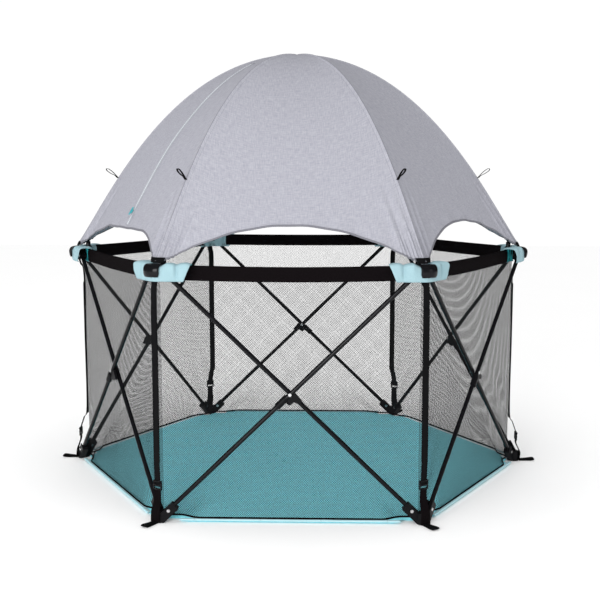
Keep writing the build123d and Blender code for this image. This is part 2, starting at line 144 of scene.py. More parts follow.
class Look:
    """A procedural material built up from a few node shorthands."""

    def __init__(self, name, color, roughness, **sockets):
        self.material = bpy.data.materials.new(name)
        self.material.use_nodes = True
        self.tree = self.material.node_tree
        self.shader = self.tree.nodes["Principled BSDF"]
        self.shader.inputs["Base Color"].default_value = (*color, 1)
        self.shader.inputs["Roughness"].default_value = roughness
        for socket, value in sockets.items():
            self.shader.inputs[socket.replace("_", " ")].default_value = value

    def node(self, kind, **settings):
        made = self.tree.nodes.new(kind)
        for key, value in settings.items():
            if hasattr(made, key):
                setattr(made, key, value)
            else:
                made.inputs[key.replace("_", " ")].default_value = value
        return made

    def put(self, source, target):
        self.tree.links.new(source, target)

    def math(self, operation, first, second=0.0, third=0.0):
        made = self.tree.nodes.new("ShaderNodeMath")
        made.operation = operation
        for socket, value in zip(made.inputs, (first, second, third)):
            if isinstance(value, (int, float)):
                socket.default_value = value
            else:
                self.put(value, socket)
        return made.outputs[0]

    def coords(self, uv=None):
        if uv:
            return self.node("ShaderNodeUVMap", uv_map=uv).outputs["UV"]
        return self.node("ShaderNodeTexCoord").outputs["Object"]

    def split(self, vector):
        made = self.node("ShaderNodeSeparateXYZ")
        self.put(vector, made.inputs[0])
        return made.outputs

    def noise(self, vector, scale, detail=3.0, stretch=(1, 1, 1)):
        mapping = self.node("ShaderNodeMapping")
        mapping.inputs["Scale"].default_value = stretch
        self.put(vector, mapping.inputs["Vector"])
        made = self.node("ShaderNodeTexNoise", Scale=scale, Detail=detail)
        self.put(mapping.outputs[0], made.inputs["Vector"])
        return made.outputs["Fac"]

    def shade(self, factor, dark, light, low=0.3, high=0.7):
        """Colour from dark to light as factor goes from low to high."""
        ramp = self.node("ShaderNodeValToRGB")
        ramp.color_ramp.elements[0].position = low
        ramp.color_ramp.elements[0].color = (*dark, 1)
        ramp.color_ramp.elements[1].position = high
        ramp.color_ramp.elements[1].color = (*light, 1)
        self.put(factor, ramp.inputs["Fac"])
        return ramp.outputs["Color"]

    def darken(self, color, mask, amount):
        """Colour multiplied down by amount where mask is 1."""
        made = self.node("ShaderNodeMix", data_type="RGBA", blend_type="MULTIPLY")
        self.put(color, made.inputs[6])
        made.inputs[7].default_value = (1 - amount, 1 - amount, 1 - amount, 1)
        self.put(mask, made.inputs[0])
        return made.outputs[2]

    def color(self, source):
        self.put(source, self.shader.inputs["Base Color"])

    def rough(self, factor, low, high):
        made = self.node("ShaderNodeMapRange")
        made.inputs["To Min"].default_value = low
        made.inputs["To Max"].default_value = high
        self.put(factor, made.inputs["Value"])
        self.put(made.outputs[0], self.shader.inputs["Roughness"])

    def relief(self, height, strength, distance):
        made = self.node("ShaderNodeBump", Strength=strength, Distance=distance)
        self.put(height, made.inputs["Height"])
        self.put(made.outputs[0], self.shader.inputs["Normal"])

    def weave(self, u, v, pitch):
        """Plain weave height: threads that pass over each other in turn."""
        turn = 2 * pi / pitch
        warp = self.math("SINE", self.math("MULTIPLY", u, turn))
        weft = self.math("SINE", self.math("MULTIPLY", v, turn))
        return self.math("MULTIPLY", warp, weft)


def hard_look(name, color, roughness, grain, **sockets):
    """Painted, moulded or metal finish with a fine uneven surface."""
    look = Look(name, color, roughness, **sockets)
    where = look.coords()
    cloud = look.noise(where, grain, 5.0)
    look.color(look.shade(cloud, [c * 0.8 for c in color], [c * 1.15 for c in color]))
    look.rough(look.noise(where, grain * 0.3, 4.0), roughness * 0.75, roughness * 1.3)
    look.relief(look.noise(where, grain * 4, 2.0), 0.12, 0.0003)
    return look.material


def cloth_look(name, color, pitch, spread=0.12, roughness=0.85, uv="cloth", relief=0.5, **sockets):
    """Woven cloth with threads pitch apart on its own map, in metres."""
    look = Look(name, color, roughness, **sockets)
    where = look.coords(uv)
    u, v, _ = look.split(where)
    cloud = look.noise(where, 0.35 / pitch, 4.0)
    look.color(look.shade(cloud, [c * (1 - spread) for c in color], [c * (1 + spread) for c in color]))
    look.relief(look.weave(u, v, pitch), relief, pitch * 0.4)
    return look.material


def canopy_look():
    """Heather grey weave: slubs along both thread directions, with stitched seams and painted shade along
    each seam line.
    """
    look = Look("canopy_heather", (0.34, 0.34, 0.38), 0.85, Specular_IOR_Level=0.2)
    cloth = look.coords("cloth")
    u, v, _ = look.split(cloth)
    warp = look.noise(cloth, 420, 2.0, (1, 0.12, 1))
    weft = look.noise(cloth, 420, 2.0, (0.12, 1, 1))
    fleck = look.noise(cloth, 900, 1.0)
    slub = look.math("ADD", look.math("MULTIPLY", warp, 0.4), look.math("MULTIPLY", weft, 0.4))
    slub = look.math("ADD", slub, look.math("MULTIPLY", fleck, 0.2))
    tone = look.shade(slub, (0.265, 0.267, 0.307), (0.38, 0.38, 0.423), 0.36, 0.64)
    seam = look.coords("seam")
    d, run, _ = look.split(seam)
    away = look.math("ABSOLUTE", d)
    # painted shade: a thin line along each seam, where the two gores meet, is darkened to stand in for the
    # shade in the seam's crease
    crease = look.math("LESS_THAN", away, 0.0009)
    row = look.math("LESS_THAN", look.math("ABSOLUTE", look.math("SUBTRACT", away, 0.0085)), 0.0006)
    dash = look.math("GREATER_THAN", look.math("FRACT", look.math("DIVIDE", run, 0.0036)), 0.28)
    stitch = look.math("MULTIPLY", row, dash)
    # painted shade darkens the seam line by 45%; the stitches below are darker thread
    tone = look.darken(tone, crease, 0.45)
    look.color(look.darken(tone, stitch, 0.25))
    threads = look.weave(u, v, 0.0011)
    look.relief(look.math("SUBTRACT", threads, look.math("MULTIPLY", stitch, 2.0)), 0.35, 0.0004)
    return look.material


def mesh_look():
    """Open diamond netting: a thread grid turned by 45 degrees, clear between the threads."""
    look = Look("wall_netting", (0.010, 0.010, 0.011), 0.7, Specular_IOR_Level=0.05)
    u, v, _ = look.split(look.coords("cloth"))
    one = look.math("ADD", u, v)
    two = look.math("SUBTRACT", u, v)
    pitch = 0.0060
    facing = look.node("ShaderNodeLayerWeight", Blend=0.5).outputs["Facing"]
    thread = look.math("MULTIPLY_ADD", facing, 0.30, 0.12)
    lines = []
    for diagonal in (one, two):
        part = look.math("FRACT", look.math("DIVIDE", diagonal, pitch))
        lines.append(look.math("LESS_THAN", part, thread))
    cover = look.math("MAXIMUM", *lines)
    look.put(cover, look.shader.inputs["Alpha"])
    look.relief(look.weave(one, two, pitch), 0.4, 0.0003)
    return look.material


def webbing_look(name, color):
    """Ribbed narrow webbing, ribs along its length, with painted sheen: the colour is lighter on each rib's
    crown.
    """
    look = Look(name, color, 0.75, Specular_IOR_Level=0.04)
    u, v, _ = look.split(look.coords("cloth"))
    ribs = look.math("SINE", look.math("MULTIPLY", u, 2 * pi / 0.0016))
    picks = look.math("SINE", look.math("MULTIPLY", v, 2 * pi / 0.0012))
    rise = look.math("MULTIPLY", ribs, look.math("ADD", picks, 1.6))
    # painted sheen: the colour runs lighter on each rib's crown and darker between the ribs
    painted_rib_sheen = look.math("MULTIPLY_ADD", ribs, 0.25, 0.5)
    look.color(look.shade(painted_rib_sheen, [c * 0.6 for c in color], [c * 1.7 for c in color]))
    look.relief(rise, 0.5, 0.0004)
    return look.material


BLACK = (0.006, 0.006, 0.007)
tube_finish = hard_look("tube_black", BLACK, 0.16, 60, Specular_IOR_Level=0.12)
hub_finish = hard_look("hub_black", (0.006, 0.006, 0.007), 0.35, 180, Specular_IOR_Level=0.07)
gloss_finish = hard_look("clip_black", BLACK, 0.18, 90, Specular_IOR_Level=0.14)
rivet_finish = hard_look("rivet_steel", (0.62, 0.62, 0.63), 0.28, 500, Metallic=1.0)
pole_finish = hard_look("pole_fibre", (0.03, 0.03, 0.032), 0.4, 220)
teal_finish = hard_look("pull_teal", (0.04, 0.36, 0.40), 0.35, 140)
tooth_finish = hard_look("zip_teeth", (0.74, 0.78, 0.82), 0.4, 300)
canopy_cloth = canopy_look()
hem_cloth = cloth_look("canopy_hem", (0.17, 0.17, 0.195), 0.0009)
tape_cloth = cloth_look("zip_tape", (0.36, 0.37, 0.41), 0.0008)
netting = mesh_look()
rail_black = (0.0045, 0.0032, 0.0038)
rail_cloth = cloth_look("rail_black", rail_black, 0.0010, roughness=0.9, Specular_IOR_Level=0.04)
aqua_cloth = cloth_look("pocket_aqua", (0.29, 0.44, 0.485), 0.0009, 0.05, Specular_IOR_Level=0.3)
lining_cloth = cloth_look("pocket_lining", (0.02, 0.34, 0.38), 0.0009, 0.08, Specular_IOR_Level=0.3)
piping_cloth = cloth_look("piping_aqua", (0.40, 0.62, 0.67), 0.0009, 0.06, Specular_IOR_Level=0.3)
mat_cloth = cloth_look("mat_teal", (0.28, 0.82, 0.92), 0.0012, 0.07, Specular_IOR_Level=0.25)
webbing_cloth = webbing_look("webbing_black", (0.005, 0.005, 0.0055))


# Mesh building


def piece(name, body, points, faces, look, maps=None, flat=False):
    """New mesh object that rides body, with one or more named maps given as a value per vertex."""
    mesh = bpy.data.meshes.new(name)
    mesh.from_pydata([tuple(p) for p in points], [], faces)
    for map_name, values in (maps or {}).items():
        layer = mesh.uv_layers.new(name=map_name)
        for loop in mesh.loops:
            layer.data[loop.index].uv = values[loop.vertex_index]
    mesh.polygons.foreach_set("use_smooth", [not flat] * len(mesh.polygons))
    obj = bpy.data.objects.new(name, mesh)
    bpy.context.scene.collection.objects.link(obj)
    mesh.materials.append(look)
    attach(obj, body)
    return obj


def grid_faces(rows, columns, around=False, start=0):
    """Quads over rows of vertices; around closes each row on itself."""
    faces = []
    for i in range(rows - 1):
        for j in range(columns if around else columns - 1):
            a, b = start + i * columns + j, start + i * columns + (j + 1) % columns
            faces.append((a, b, b + columns, a + columns))
    return faces


def swept(path, sides, normals, outline):
    """Closed solid swept along path, and its map; outline is in each point's (side, normal) directions."""
    points, values = [], []
    run = 0
    girth = [0]
    for (a, b), (c, d) in zip(outline, outline[1:]):
        girth.append(girth[-1] + hypot(c - a, d - b))
    for i, (centre, side, normal) in enumerate(zip(path, sides, normals)):
        run += (centre - path[i - 1]).length if i else 0
        for (a, b), around in zip(outline, girth):
            points.append(centre + side * a + normal * b)
            values.append((a if abs(a) > abs(b) else around, run))
    n = len(outline)
    faces = grid_faces(len(path), n, True)
    faces.append(tuple(reversed(range(n))))
    faces.append(tuple(range(n * (len(path) - 1), n * len(path))))
    return points, faces, values


def band_outline(width, thickness, corner, steps=4):
    """Rounded rectangle, anticlockwise."""
    out = []
    for cx, cy, start in ((1, 1, 0), (-1, 1, 90), (-1, -1, 180), (1, -1, 270)):
        for i in range(steps + 1):
            turn = radians(start + 90 * i / steps)
            x = cx * (width / 2 - corner) + corner * cos(turn)
            out.append((x, cy * (thickness / 2 - corner) + corner * sin(turn)))
    return out


def joined(parts):
    """One set of points, faces and map values from several."""
    points, faces, values = [], [], []
    for more_points, more_faces, more_values in parts:
        start = len(points)
        points += more_points
        faces += [tuple(start + i for i in face) for face in more_faces]
        values += more_values
    return points, faces, values


def strip(path, side, width, thickness):
    """Flat webbing or tape along a path, lying square to the path and side."""
    sides, normals = [], []
    for i in range(len(path)):
        run = (path[min(i + 1, len(path) - 1)] - path[max(i - 1, 0)]).normalized()
        normals.append(run.cross(side).normalized())
        sides.append(side)
    return swept(path, sides, normals, band_outline(width, thickness, thickness * 0.48, 3))


def rod(path, radius, count=12):
    """Round rod along a path."""
    ring = [(radius * cos(2 * pi * i / count), radius * sin(2 * pi * i / count)) for i in range(count)]
    sides, normals = [], []
    for i in range(len(path)):
        run = (path[min(i + 1, len(path) - 1)] - path[max(i - 1, 0)]).normalized()
        side = run.cross(UP if abs(run.z) < 0.9 else Vector((1, 0, 0))).normalized()
        sides.append(side)
        normals.append(side.cross(run))
    return swept(path, sides, normals, ring)


def soften(obj, width, angle=35):
    """Rounded edges on a hard piece."""
    weld = obj.modifiers.new("weld", "WELD")
    weld.merge_threshold = 0.00001
    bevel = obj.modifiers.new("soft", "BEVEL")
    bevel.width = width
    bevel.segments = 3
    bevel.limit_method = "ANGLE"
    bevel.angle_limit = radians(angle)
    bevel.harden_normals = False


# CAD pieces kept as they are, with finishes


def finish_node(name, look, soft=0.0):
    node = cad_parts[name]
    node.data.materials.clear()
    node.data.materials.append(look)
    if soft:
        soften(node, soft)


for k in range(6):
    finish_node(f"leg_outer_{k}", tube_finish)
    finish_node(f"leg_inner_{k}", tube_finish)
    finish_node(f"outer_rivets_{k}", rivet_finish)
    finish_node(f"inner_rivets_{k}", rivet_finish)
    finish_node(f"foot_hub_{k}", hub_finish, 0.0016)
    finish_node(f"top_hub_{k}", hub_finish, 0.0016)
    finish_node(f"cross_saddle_{k}", hub_finish, 0.0012)
finish_node("canopy_poles", pole_finish)
finish_node("pole_tips", hub_finish, 0.0006)
finish_node("canopy_crown", hub_finish)
finish_node("zip_pull", teal_finish, 0.0006)


# Canopy


def profile(t):
    """Distance from the centre and height over a corner, at t from the crown (0) to the foot (1)."""
    weights = ((1 - t) ** 3, 3 * t * (1 - t) ** 2, 3 * t * t * (1 - t), t**3)
    return tuple(sum(w * p[i] for w, p in zip(weights, PROFILE)) for i in (0, 1))


def lower_edge(x, from_seam, peak):
    """Height of the gore's lower edge: an arch between two feet with rounded ends."""
    arch = ARCH_PEAK - ARCH_FALL * x * x
    arch -= (arch - peak + sqrt((arch - peak) ** 2 + 0.006**2)) / 2 if peak < ARCH_PEAK else 0
    foot = FOOT_LOW + 0.003 * min(from_seam / 0.03, 1) ** 2
    gap = arch - foot
    return foot + (gap + sqrt(gap * gap + 0.006**2)) / 2


def edge_parameter(s, peak):
    """Profile parameter at which column s meets the lower edge."""
    low, high = 0.5, 1.05
    for _ in range(40):
        middle = (low + high) / 2
        r, z = profile(middle)
        if z > lower_edge(s * r / 2, (1 - abs(s)) * r / 2, peak):
            low = middle
        else:
            high = middle
    return low


def gore_point(k, s, t, share, lift=0.0):
    """Point of gore k; share runs from 0 at the crown to 1 at the edge, lift is off the cloth."""
    r, z = profile(t)
    ahead, after = profile(t + 0.001), profile(t - 0.001)
    fall, spread = after[1] - ahead[1], ahead[0] - after[0]
    level = corner_dir(k) * ((1 - s) / 2) + corner_dir(k + 1) * ((1 + s) / 2)
    reach = level.length
    outward = (level.normalized() * fall + UP * spread * reach).normalized()
    from_seam = (1 - abs(s)) * r / 2
    sag = (0.003 if k == ZIP_PANEL else 0.009) * (1 - s * s) * sin(pi * min(share, 1)) ** 0.8
    ridge = 0.0026 * bump(from_seam, 0.0055)
    low = smooth(0.80, 0.70, z) * smooth(0.062, 0.030, from_seam)
    phase = 2 * pi * from_seam / PLEAT + 0.6 * sin(17 * z + 2 * k) + (0.9 if s > 0 else 0)
    pleat = 0.0026 * low * cos(phase) * smooth(0.0, 0.004, from_seam)
    loose = smooth(0.90, 0.74, z) * smooth(0.13, 0.05, from_seam) * smooth(0.004, 0.02, from_seam)
    wander = 3.5 * (0.9 - z) * (1 + k % 2) + 1.3 * k + (1.1 if s > 0 else 0)
    fold = 0.0032 * (1 - 0.65 * smooth(0.90, 1.0, share)) * loose * cos(2 * pi * from_seam / FOLD + wander)
    drift = 0.0022 * ripple(s * r / 2, z, 3.1 * k, 0.16)
    drift *= sin(pi * min(share, 1)) * smooth(0, 0.03, from_seam)
    flutter = 0.0018 * sin(21 * s + k) * smooth(0.90, 1.0, share) * smooth(0.03, 0.09, from_seam)
    return level * r + UP * z + outward * (ridge + pleat + fold + drift + flutter - sag + lift)


def gore_columns():
    """Positions across a gore: close together by the seams, for the sleeve and pleats."""
    near = [-1 + 0.0055 * i for i in range(37)]
    wide = [near[-1] + (-2 * near[-1]) * i / 34 for i in range(1, 34)]
    return near + wide + [-s for s in reversed(near)]


COLUMNS = gore_columns()
PEAKS = [ZIP_ARCH_PEAK if k == ZIP_PANEL else ARCH_PEAK for k in range(6)]
EDGE = [{s: edge_parameter(s, peak) for s in COLUMNS} for peak in PEAKS]
CANOPY_ROWS = 64
CROWN_START = 0.012


def build_canopy():
    points, cloth, seam = [], [], []
    lengths = {}
    columns = [(k, s) for k in range(6) for s in COLUMNS[:-1]]
    for i in range(CANOPY_ROWS):
        share = (i / (CANOPY_ROWS - 1)) ** 0.92
        for k, s in columns:
            t = CROWN_START + (EDGE[k][s] - CROWN_START) * share
            point = gore_point(k, s, t, share)
            run = lengths.get((k, s), 0.01)
            if i:
                run += (point - points[-len(columns)]).length
            lengths[(k, s)] = run
            r = profile(t)[0]
            points.append(point)
            cloth.append((s * r / 2 + 0.9 * k, run))
            seam.append(((1 - abs(s)) * r / 2, run))
    n = len(columns)
    faces = [tuple(reversed(face)) for face in grid_faces(CANOPY_ROWS, n, True)]
    crown = len(points)
    points.append(Vector((0, 0, PROFILE[0][1] + 0.0004)))
    cloth.append((0, 0))
    seam.append((0.02, 0))
    faces += [(crown, j, (j + 1) % n) for j in range(n)]
    maps = {"cloth": cloth, "seam": seam}
    cover = piece("canopy_cloth", "canopy", points, faces, canopy_cloth, maps)
    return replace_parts(cover, "canopy_cover")


def edge_path(k, lift):
    """Points along gore k's lower edge, a little above it."""
    path = []
    for s in COLUMNS:
        path.append(gore_point(k, s, EDGE[k][s] - 0.004, 0.995, lift))
    return path


def build_hem():
    """Dark binding folded over the whole lower edge."""
    parts = []
    for k in range(6):
        path = edge_path(k, -0.0002)
        down = [gore_point(k, s, EDGE[k][s] + 0.003, 1, -0.0002) for s in COLUMNS]
        sides = [(b - a).normalized() for a, b in zip(path, down)]
        normals = []
        for i, side in enumerate(sides):
            run = (path[min(i + 1, len(path) - 1)] - path[max(i - 1, 0)]).normalized()
            normals.append(run.cross(side).normalized())
        parts.append(swept(path, sides, normals, band_outline(0.0062, 0.0026, 0.0012, 3)))
    points, faces, values = joined(parts)
    return piece("canopy_hem", "canopy", points, faces, hem_cloth, {"cloth": values})


def zip_line(start_z, end_z, count, lift):
    """Points up the middle of the zip's gore."""
    out = []
    edge = EDGE[ZIP_PANEL][min(COLUMNS, key=abs)]
    for i in range(count):
        want = start_z + (end_z - start_z) * i / (count - 1)
        low, high = 0.0, 1.05
        for _ in range(40):
            middle = (low + high) / 2
            if profile(middle)[1] > want:
                low = middle
            else:
                high = middle
        out.append(gore_point(ZIP_PANEL, 0, low, low / edge, lift))
    return out


def build_zip():
    side = across(panel_dir(ZIP_PANEL))
    tapes = []
    for way in (-1, 1):
        line = [p + side * (way * 0.0068) for p in zip_line(0.752, 1.216, 60, 0.0006)]
        tapes.append(strip(line, side, 0.0085, 0.0008))
    points, faces, values = joined(tapes)
    tape = piece("zip_tape", "canopy", points, faces, tape_cloth, {"cloth": values})
    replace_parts(tape, "canopy_zip")
    line = zip_line(0.754, 1.214, 430, 0.0006)
    teeth = []
    gap = 0
    block = band_outline(0.0036, 0.0016, 0.0006, 2)
    count = 0
    for a, b in zip(line, line[1:]):
        gap += (b - a).length
        if gap < 0.0024:
            continue
        gap = 0
        count += 1
        run = (b - a).normalized()
        normal = run.cross(side).normalized()
        shift = side * (0.0007 if count % 2 else -0.0007)
        ends = [a + shift - run * 0.0007, a + shift + run * 0.0007]
        teeth.append(swept(ends, [side] * 2, [normal] * 2, block))
    points, faces, values = joined(teeth)
    maps = {"cloth": values}
    return tape, piece("zip_teeth", "canopy", points, faces, tooth_finish, maps, flat=True)


def build_seam_loops():
    """Short webbing loops that stand out from the seams, for hanging things from."""
    parts = []
    for k in range(6):
        out = corner_dir(k)
        side = across(out)
        lean = radians(38)
        loop = [(-7, 0.4), (6, 2.6), (17, 4.2), (28, 4.4), (36, 3.0), (39, 0)]
        loop += [(36, -3.0), (28, -3.6), (17, -2.4), (7, -0.2), (-4, -1.6)]
        path = []
        for p in through([(x * MM, y * MM, 0) for x, y in loop], 48):
            r = SEAM_LOOP[0] + p.x * cos(lean) - p.y * sin(lean)
            path.append(out * r + UP * (SEAM_LOOP[1] + p.x * sin(lean) + p.y * cos(lean)))
        parts.append(strip(path, side, 0.006 if k in STRAIGHT_STRAPS else 0.010, 0.0012))
    points, faces, values = joined(parts)
    loops = piece("seam_webbing", "canopy", points, faces, webbing_cloth, {"cloth": values})
    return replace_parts(loops, "seam_loops")


# Sewn foot ends: height, half width and distance out of the corner axis
FOOT_END_ROWS = (
    (0.6738, 0.0185, -0.0010),
    (0.6760, 0.0190, -0.0020),
    (0.6820, 0.0205, -0.0050),
    (0.6865, 0.0218, -0.0078),
)
FOOT_END_COLUMNS = 25


def build_foot_ends():
    """Stitched black ends that hold the canopy's feet down on the clips."""
    parts = []
    for k in range(6):
        rows = []
        for i in range(FOOT_END_COLUMNS):
            side = -1 + 2 * i / (FOOT_END_COLUMNS - 1)
            drop = hypot(side * 0.021 * tan(radians(30)), 0.005) - 0.005
            rows.append((side, drop))
        points, values = [], []
        for height, half, out in FOOT_END_ROWS:
            for side, drop in rows:
                points.append(at_corner(k, out - drop, side * half, height))
                values.append((side * half, height))
        parts.append((points, grid_faces(len(FOOT_END_ROWS), len(rows)), values))
    points, faces, values = joined(parts)
    maps = {"cloth": values}
    ends = piece("canopy_foot_ends", "canopy", points, faces, webbing_cloth, maps)
    thick = ends.modifiers.new("thick", "SOLIDIFY")
    thick.thickness = 0.003
    thick.offset = 0
    return ends


cover = build_canopy()
cover_thick = cover.modifiers.new("thick", "SOLIDIFY")
cover_thick.thickness = 0.0013
cover_thick.offset = -1
hem = build_hem()
tape, teeth = build_zip()
loops = build_seam_loops()
foot_ends = build_foot_ends()


# Corner clips


SOCKET_OUT = -0.03467  # axis of the pole's socket, from the corner axis
CLIP_BEND = 0.041  # radius of the clip's front, seen from above


def clip_path():
    """Middle line of the clip's section: distance out from the corner axis, and height."""
    shape = [(-42, 668.2), (-40, 669.6), (-33, 670.0), (-20, 670.0), (-6, 670.0), (5, 669.9)]
    shape += [(12.0, 669.4), (17.4, 667.2), (20.8, 662.8), (22.2, 656.5), (22.0, 650.0)]
    shape += [(20.6, 644.0), (18.4, 639.5)]
    return through([(o * MM, z * MM, 0) for o, z in shape], 46)


def build_clip(k):
    path = clip_path()
    wide = 15
    points, values = [], []
    for face in (1, -1):
        for i, here in enumerate(path):
            run = (path[min(i + 1, len(path) - 1)] - path[max(i - 1, 0)]).normalized()
            normal = Vector((-run.y, run.x, 0)) if face > 0 else Vector((run.y, -run.x, 0))
            share = i / (len(path) - 1)
            half = 0.0165 + 0.0068 * smooth(0.1, 0.5, share) - 0.003 * smooth(0.85, 1, share)
            thick = 0.0016 + 0.0007 * smooth(0.55, 0.8, share) if 0.02 < share < 0.98 else 0.0014
            for j in range(wide):
                side = (-1 + 2 * j / (wide - 1)) * half
                drop = CLIP_BEND * (1 - cos(asin(side / CLIP_BEND))) * smooth(-0.005, 0.016, here.x)
                spot = here + normal * thick
                points.append(at_corner(k, spot.x - drop, side, spot.y))
                values.append((side, share * 0.12))
    rows = len(path)
    faces = grid_faces(rows, wide)
    faces += [tuple(reversed(f)) for f in grid_faces(rows, wide, start=rows * wide)]
    other = rows * wide
    for j in range(wide - 1):
        last = (rows - 1) * wide
        faces.append((j + 1, j, other + j, other + j + 1))
        faces.append((last + j, last + j + 1, other + last + j + 1, other + last + j))
    for i in range(rows - 1):
        a, b = i * wide, (i + 1) * wide
        faces.append((a, b, other + b, other + a))
        a, b = a + wide - 1, b + wide - 1
        faces.append((b, a, other + a, other + b))
    boss = []
    ring = ((7.0, 670.5), (7.0, 684.6), (6.2, 686), (3.0, 686), (2.7, 685.4), (2.7, 670.5))
    for radius, height in ring:
        for j in range(24):
            turn = 2 * pi * j / 24
            x, y = radius * MM * cos(turn), radius * MM * sin(turn)
            boss.append(at_corner(k, SOCKET_OUT + x, y, height * MM))
    parts = [(points, faces, values), (boss, grid_faces(len(ring), 24, True), [(0, 0)] * len(boss))]
    tongue = [at_corner(k, -0.0262, 0, 0.6700), at_corner(k, -0.0262, 0, 0.648)]
    outline = band_outline(0.024, 0.003, 0.0012, 3)
    parts.append(swept(tongue, [across(corner_dir(k))] * 2, [corner_dir(k)] * 2, outline))
    return joined(parts)


points, faces, values = joined([build_clip(k) for k in range(6)])
maps = {"cloth": values}
clips = piece("corner_clip_shells", "clips", points, faces, gloss_finish, maps)
soften(clips, 0.0009, 50)
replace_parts(clips, "corner_clips")


# Corner pockets


def pocket_section():
    """Open section over the rail from lower edge to lower edge: distance out, and height above the edges."""
    shape = [(14.6, 0.4), (17.4, 3.5), (18.6, 11), (19.0, 22), (18.7, 33), (16.6, 40.5)]
    shape += [(10.5, 44.0), (0, 44.8)]
    shape += [(-o, z) for o, z in reversed(shape[:-1])]
    return through([(o * MM, z * MM, 0) for o, z in shape], 52)


def pocket_wing(k, way):
    section = pocket_section()
    tall = RAIL_TOP - POCKET_LOW
    bend_run = POCKET_BEND * radians(30)
    tangent = POCKET_BEND * tan(radians(30))
    full = bend_run + POCKET_TOP_REACH - tangent
    out, side = corner_dir(k), across(corner_dir(k)) * way
    centre = out * (CORNER - POCKET_BEND / cos(radians(30)))
    columns = 44
    points, values = [], []
    for i in range(columns):
        share = i / (columns - 1)
        for spot in section:
            high = min(max(spot.y / tall, 0), 1)
            reach = POCKET_LOW_REACH + (POCKET_TOP_REACH - POCKET_LOW_REACH) * high
            run = share * (bend_run + reach - tangent)
            turn = min(run / POCKET_BEND, radians(30))
            normal = out * cos(turn) + side * sin(turn)
            forward = side * cos(turn) - out * sin(turn)
            base = centre + normal * POCKET_BEND + forward * max(run - bend_run, 0)
            at = run / full * POCKET_TOP_REACH
            dart = -0.0046 * bump(at - DART, 0.0042) * smooth(0.05, 0.45, high)
            beyond = min(max((at - DART) / 0.036, 0), 1)
            swell = 0.0030 * sin(pi * min(at / DART, 1)) + 0.0030 * sin(pi * beyond)
            crease = 0.0016 * ripple(at, spot.y, k + way * 0.3 + (0.5 if spot.x > 0 else 0), 0.016)
            flare = 0.0065 if (k, way) in FLARED_WINGS else 0.0015
            flare *= smooth(0.80, 1, share) * (0.35 + 0.65 * high)
            away = smooth(0.018, 0.035, at)
            swell *= away
            crease *= away
            puff = dart + swell + crease + flare
            grown = spot.x + (puff if spot.x > 0 else -puff) * smooth(0.002, 0.012, abs(spot.x))
            under_clip = 0.0038 * (1 - smooth(0.016, 0.034, at))
            lift = (swell + crease) * 0.9 - under_clip - 0.002 * bump(at - DART, 0.006)
            points.append(base + normal * grown + UP * (POCKET_LOW + spot.y + lift * high))
            values.append((run, spot.y + (0.1 if spot.x < 0 else 0)))
    faces = grid_faces(columns, len(section))
    if way > 0:
        faces = [tuple(reversed(f)) for f in faces]
    name = f"pocket_{k}_{'a' if way > 0 else 'b'}"
    wing = piece(name, f"top_{k}", points, faces, aqua_cloth, {"cloth": values})
    wing.data.materials.append(lining_cloth)
    thick = wing.modifiers.new("thick", "SOLIDIFY")
    thick.thickness = 0.0015
    thick.offset = -1
    thick.material_offset = 1
    thick.material_offset_rim = 0
    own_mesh(wing)
    return wing


for k in range(6):
    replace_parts(pocket_wing(k, 1), "corner_pockets")
    pocket_wing(k, -1)


# Rail bands


def rail_band(k):
    half = HALF_SIDE - BAND_START
    tall = RAIL_TOP - RAIL_LOW + 0.002
    steps = 72
    path, sides, normals = [], [], []
    normal = panel_dir(k)
    for i in range(steps):
        along = -half + 2 * half * i / (steps - 1)
        wave = 0.0008 * ripple(along, 2.0 * k, 0, 0.07)
        slack = cos(pi * along / (2 * half))
        dip = -0.0055 - 0.0045 * slack if k in NEAR_PANELS else -0.0015 * slack
        path.append(on_panel(k, along, BAND_OUT + wave, (RAIL_TOP + RAIL_LOW) / 2 + dip))
        sides.append(UP)
        normals.append(normal)
    outline = band_outline(tall, 0.009, 0.0042, 5)
    dense = []
    for (a, b), (c, d) in zip(outline, outline[1:] + outline[:1]):
        count = max(int(hypot(c - a, d - b) / 0.004), 1)
        for i in range(count):
            x, y = a + (c - a) * i / count, b + (d - b) * i / count
            seam = 0.0012 * (bump(x - (-tall / 2 + 0.007), 0.0012) + bump(x - (tall / 2 - 0.005), 0.0012))
            y += (0.0012 * cos(pi * x / tall) - seam) * (1 if y > 0 else -1)
            dense.append((x, y))
    points, faces, values = swept(path, sides, normals, dense)
    band = piece(f"rail_band_{k}", f"top_{k}", points, faces, rail_cloth, {"cloth": values})
    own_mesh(band)
    return band


for k in range(6):
    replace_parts(rail_band(k), "rail_bands")


# Mesh walls, with their bindings


def wall_push(k, along, height):
    """How far the netting stands off its flat place: faint waves, and creases near the lower corners."""
    near = HALF_SIDE - abs(along)
    edge = smooth(0, 0.03, near - 0.012) * smooth(0, 0.02, height - MAT_TOP)
    edge *= smooth(0, 0.04, RAIL_LOW - height)
    wave = 0.0014 * ripple(along, height, 5.0 * k, 0.22)
    pull = 0.0024 * sin(95 * (near * 0.8 - (height - 0.02) * 0.45))
    pull *= bump(near - 0.06, 0.07) * bump(height - 0.10, 0.14)
    return (wave + pull) * edge


def wall_spread(along, height):
    """How far the wall leans out to the mat's edge, under the two tubes."""
    under_tube = 0.013 + (0.314 - abs(along)) * 0.9745
    share = smooth(0, 1, (height - MAT_TOP) / max(under_tube - 0.02 - MAT_TOP, 0.01))
    return 0.0235 * (1 - share) * smooth(0.290, 0.235, abs(along))


def wall_strip(k, rows, columns, half, low, high):
    points, values = [], []
    for i in range(rows):
        height = low + (high - low) * i / (rows - 1)
        for j in range(columns):
            along = -half + 2 * half * j / (columns - 1)
            out = WALL_OUT + wall_push(k, along, height) + wall_spread(along, height)
            points.append(on_panel(k, along, out, height))
            values.append((along, height))
    return points, grid_faces(rows, columns), values


